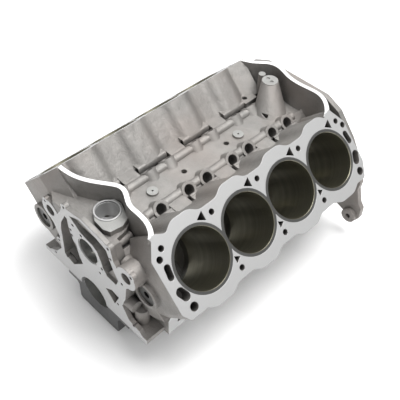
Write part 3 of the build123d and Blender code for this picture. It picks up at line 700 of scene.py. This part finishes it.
class BLOCK_OT_fit_ledge_fillets(bpy.types.Operator):
    """Fill the corner between each head bolt ledge and the lifter bench with a rounded fillet"""
    bl_idname = "block.fit_ledge_fillets"
    bl_label = "Fit Ledge Fillets"

    def execute(self, context):
        fillets = []
        bench_edge = BENCH_SUM - LEDGE_TOP
        outer = LEDGE_INNER + LEDGE_BITE
        foot = BENCH_SUM - outer
        top = LEDGE_TOP - FILLET_DROP
        inner_half = (bench_edge + LEDGE_INNER) / 2
        for side in (1, -1):
            for step in (-1, 0, 1):
                bpy.ops.object.select_all(action="DESELECT")
                centre = (side * (bench_edge + outer) / 2,
                          BANK_MIDDLE[side] + step * CYLINDER_SPACING, (foot + top) / 2)
                bpy.ops.mesh.primitive_cube_add(size=1.0, location=centre)
                fillet = context.object
                fillet.scale = (outer - bench_edge, 2 * (LEDGE_HALF_LENGTH - FILLET_DROP),
                                top - foot)
                bpy.ops.object.transform_apply(location=True, rotation=True, scale=True)
                bpy.ops.object.mode_set(mode="EDIT")
                select_vertices(fillet, lambda place: place.z < (foot + top) / 2
                                and abs(place.x) < inner_half)
                bpy.ops.transform.translate(value=(side * (LEDGE_INNER - bench_edge), 0.0, 0.0))
                select_vertices(fillet, lambda place: abs(place.x) < inner_half)
                bpy.ops.transform.translate(value=(0.0, 0.0, -FILLET_DIP))
                bpy.ops.mesh.select_all(action="SELECT")
                bpy.ops.mesh.normals_make_consistent(inside=False)
                bpy.ops.object.mode_set(mode="OBJECT")
                fillets.append(fillet)
        settle(join(fillets), "ledge_fillets")
        return {"FINISHED"}


class BLOCK_OT_fit_foot_beads(bpy.types.Operator):
    """Round the foot of each bore's bulge where it meets the lifter bosses"""
    bl_idname = "block.fit_foot_beads"
    bl_label = "Fit Foot Beads"

    def execute(self, context):
        beads = []
        width, height = BEAD_OUTER - BEAD_INNER, BEAD_TOP - BEAD_BOTTOM
        for side, bank in BANKS:
            for cylinder in CYLINDERS[bank]:
                bpy.ops.object.select_all(action="DESELECT")
                bpy.ops.mesh.primitive_cube_add(size=1.0)
                bead = context.object
                bpy.ops.object.mode_set(mode="EDIT")
                select_vertices(bead, lambda place: place.z > 0 and place.x * side < 0)
                bpy.ops.mesh.select_mode(type="EDGE")
                bpy.ops.mesh.bevel(offset=BEAD_SHARE, segments=BEAD_STEPS)
                bpy.ops.object.mode_set(mode="OBJECT")
                bead.scale = (width, 2 * FOOT_HALF_LENGTH, height)
                bead.location = (side * (BEAD_INNER + width / 2), cylinder["pos_m"][1],
                                 BEAD_BOTTOM + height / 2)
                bpy.ops.object.transform_apply(location=True, rotation=True, scale=True)
                bpy.ops.object.shade_smooth_by_angle(angle=math.radians(35))
                beads.append(bead)
        settle(join(beads), "foot_beads")
        return {"FINISHED"}


class BLOCK_OT_fit_column_top(bpy.types.Operator):
    """Cap the column at the back of the valley with its drilled, spot faced top"""
    bl_idname = "block.fit_column_top"
    bl_label = "Fit Column Top"

    def execute(self, context):
        plate = add_disc(COLUMN_RADIUS - TOP_MARGIN, TOP_THICKNESS, COLUMN_TOP)
        for shift in SCREW_SHIFTS:
            drill(plate, COLUMN_TOP + Vector((shift, SCREW_ROW_SLOPE * shift, 0.0)), SCREW_RADIUS)
        settle(plate, "column_top")
        return {"FINISHED"}


class BLOCK_OT_fit_distributor_lip(bpy.types.Operator):
    """Set the thin turned lip round the distributor bore"""
    bl_idname = "block.fit_distributor_lip"
    bl_label = "Fit Distributor Lip"

    def execute(self, context):
        bore = mounts["distributor_bore"]
        radius = bore["dims"]["r_mm"] * MM
        seat = Vector((bore["pos_m"][0], bore["pos_m"][1], PAD_HEIGHT))
        lip = add_disc(radius + LIP_WIDTH, LIP_THICKNESS, seat)
        drill(lip, seat, radius + LIP_CLEARANCE)
        settle(lip, "distributor_lip")
        return {"FINISHED"}


class BLOCK_OT_set_studio(bpy.types.Operator):
    """Build the floor, the soft lights and the camera of the photograph"""
    bl_idname = "block.set_studio"
    bl_label = "Set Studio"

    def execute(self, context):
        look = context.scene.studio_light
        low, high = cad_box
        bpy.ops.object.select_all(action="DESELECT")
        bpy.ops.mesh.primitive_plane_add(size=FLOOR_SIZE,
                                         location=(0.0, (low.y + high.y) / 2, low.z))
        floor = context.object
        floor.name = "studio_floor"
        bpy.ops.object.transform_apply(location=True, rotation=True, scale=True)
        material, tree, shader = new_material("studio_floor")
        grain = add_node(tree, "ShaderNodeTexNoise", Scale=FLOOR_GRAIN, Detail=2.0)
        place = tree.nodes.new("ShaderNodeTexCoord")
        tree.links.new(place.outputs["Object"], grain.inputs["Vector"])
        pale = tuple(look.floor_colour)
        colour = mix_colours(tree, grain.outputs["Fac"], scaled(pale, FLOOR_SHADE), pale)
        tree.links.new(colour, shader.inputs["Base Color"])
        shader.inputs["Roughness"].default_value = 0.9
        shader.inputs["Specular IOR Level"].default_value = 0.1
        floor.data.materials.append(material)

        context.scene.view_settings.view_transform = "Standard"
        world = bpy.data.worlds.new("studio_room")
        context.scene.world = world
        world.use_nodes = True
        sky = world.node_tree.nodes["Background"]
        sky.inputs["Color"].default_value = (1.0, 1.0, 1.0, 1.0)
        sky.inputs["Strength"].default_value = look.sky_strength

        for name, (spot, size, share) in LAMPS.items():
            bpy.ops.object.light_add(type="AREA", location=spot)
            lamp = context.object
            lamp.name = name
            lamp.data.size = size
            lamp.data.energy = look.key_power * share
            aim = LAMP_TARGET - Vector(spot)
            lamp.rotation_euler = aim.to_track_quat("-Z", "Y").to_euler()

        camera_data = bpy.data.cameras.new("photo_camera")
        camera_data.lens = CAMERA_LENS
        camera_data.sensor_width = SENSOR_WIDTH
        camera = bpy.data.objects.new("photo_camera", camera_data)
        context.scene.collection.objects.link(camera)
        aim = (LOOKED_AT - VIEWPOINT).to_track_quat("-Z", "Y").to_matrix().to_4x4()
        roll = Matrix.Rotation(CAMERA_ROLL, 4, "Z")
        camera.matrix_world = Matrix.Translation(VIEWPOINT) @ aim @ roll
        context.scene.camera = camera
        return {"FINISHED"}


class BLOCK_PT_finisher(bpy.types.Panel):
    bl_idname = "BLOCK_PT_finisher"
    bl_label = "Engine Block"
    bl_space_type = "VIEW_3D"
    bl_region_type = "UI"
    bl_category = "Engine Block"

    def draw(self, context):
        layout = self.layout
        scene = context.scene
        for settings, operators in PANEL_ROWS:
            box = layout.box()
            group = getattr(scene, settings)
            for name in group.bl_rna.properties.keys():
                if name not in {"rna_type", "name"}:
                    box.prop(group, name)
            for operator in operators:
                box.operator(operator)


PANEL_ROWS = [
    ("casting_finish", ["block.dress_casting", "block.fit_ledge_fillets", "block.fit_foot_beads",
                        "block.fit_column_top", "block.fit_distributor_lip"]),
    ("iron_finish", ["block.dress_liners"]),
    ("steel_finish", ["block.dress_steel"]),
    ("studio_light", ["block.set_studio"]),
]
SETTINGS = {"casting_finish": CastingFinish, "iron_finish": IronFinish, "steel_finish": SteelFinish,
            "studio_light": StudioLight}
CLASSES = [*SETTINGS.values(), BLOCK_OT_dress_casting, BLOCK_OT_dress_liners, BLOCK_OT_dress_steel,
           BLOCK_OT_fit_ledge_fillets, BLOCK_OT_fit_foot_beads, BLOCK_OT_fit_column_top,
           BLOCK_OT_fit_distributor_lip, BLOCK_OT_set_studio, BLOCK_PT_finisher]


def register():
    for cls in CLASSES:
        bpy.utils.register_class(cls)
    for name, settings in SETTINGS.items():
        setattr(bpy.types.Scene, name, bpy.props.PointerProperty(type=settings))


def unregister():
    for name in SETTINGS:
        delattr(bpy.types.Scene, name)
    for cls in reversed(CLASSES):
        bpy.utils.unregister_class(cls)


def main():
    register()
    bpy.ops.block.dress_casting()
    bpy.ops.block.dress_liners()
    bpy.ops.block.dress_steel()
    bpy.ops.block.fit_ledge_fillets()
    bpy.ops.block.fit_foot_beads()
    bpy.ops.block.fit_column_top()
    bpy.ops.block.fit_distributor_lip()
    bpy.ops.block.set_studio()


if __name__ == "__main__":
    main()
